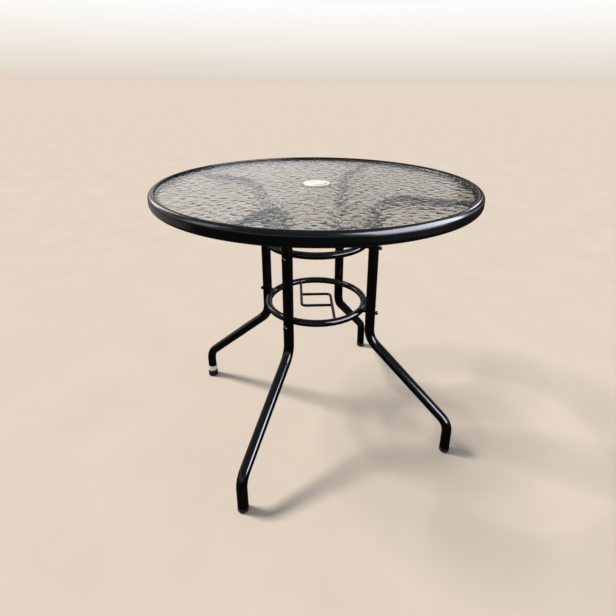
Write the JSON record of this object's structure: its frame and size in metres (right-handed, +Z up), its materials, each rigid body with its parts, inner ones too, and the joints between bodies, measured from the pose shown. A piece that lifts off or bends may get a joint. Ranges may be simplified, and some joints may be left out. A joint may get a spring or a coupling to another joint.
{
  "type": "garden table",
  "caption": "Round garden table with a rippled glass top in a rolled steel rim, on splayed bent-tube legs tied by hoops, with a capped parasol hole and a levelling foot.",
  "frame": {"origin": "on the floor, under the table's axis", "axes": "+Z up along the table's axis, legs on the diagonals of X and Y, front at -Y"},
  "size_m": [0.8, 0.8, 0.7],
  "materials": {
    "black_rim": "gloss black powder coat",
    "black_tube": "gloss black powder coat",
    "ripple_glass": "clear, rippled on one side",
    "black_seal": "matt black",
    "white_plastic": "moulded white",
    "clear_pad": "clear soft plastic",
    "black_plastic": "moulded black",
    "white_nylon": "moulded white nylon",
    "black_bolt": "black plated",
    "zinc_steel": "bright zinc"
  },
  "bodies": {
    "table": {"brace_wire_left": "black_tube", "brace_wire_right": "black_tube", "foot_cap_front_left": "black_plastic", "foot_cap_front_right": "black_plastic", "foot_cap_rear_right": "black_plastic", "glass_gasket": "black_seal", "glass_pad_front_left": "clear_pad", "glass_pad_front_right": "clear_pad", "glass_pad_rear_left": "clear_pad", "glass_pad_rear_right": "clear_pad", "glass_top": "ripple_glass", "leg_front_left": "black_tube", "leg_front_right": "black_tube", "leg_rear_left": "black_tube", "leg_rear_right": "black_tube", "leveller_insert": "white_nylon", "lower_boss_front_left": "black_tube", "lower_boss_front_right": "black_tube", "lower_boss_rear_left": "black_tube", "lower_boss_rear_right": "black_tube", "lower_ring": "black_tube", "lower_ring_bolts": "black_bolt", "parasol_ring": "white_plastic", "rim_band": "black_rim", "rim_lug_front_left": "black_tube", "rim_lug_front_right": "black_tube", "rim_lug_rear_left": "black_tube", "rim_lug_rear_right": "black_tube", "rim_screws": "zinc_steel", "upper_boss_front_left": "black_tube", "upper_boss_front_right": "black_tube", "upper_boss_rear_left": "black_tube", "upper_boss_rear_right": "black_tube", "upper_ring": "black_tube", "upper_ring_bolts": "black_bolt"},
    "cap": {"parasol_cap": "white_plastic"},
    "leveller_screw": {"leveller_stud": "zinc_steel"},
    "leveller_pad": {"leveller_foot": "black_plastic"}
  },
  "joints": [
    {"name": "cap_lift", "type": "slide", "parent": "table", "child": "cap", "axis": [0, 0, 1], "range_m": [0, 0.06]},
    {"name": "leveller_travel", "type": "slide", "parent": "table", "child": "leveller_screw", "axis": [0, 0, -1], "range_m": [0, 0.012]},
    {"name": "leveller_turn", "type": "hinge", "parent": "leveller_screw", "child": "leveller_pad", "pos_m": [-0.27507, 0.27507, 0], "axis": [0, 0, -1], "range_deg": [0, 2880]}
  ],
  "couplings": [
    {"joint": "leveller_turn", "follows": "leveller_travel", "rad_per_m": 4188.8}
  ]
}
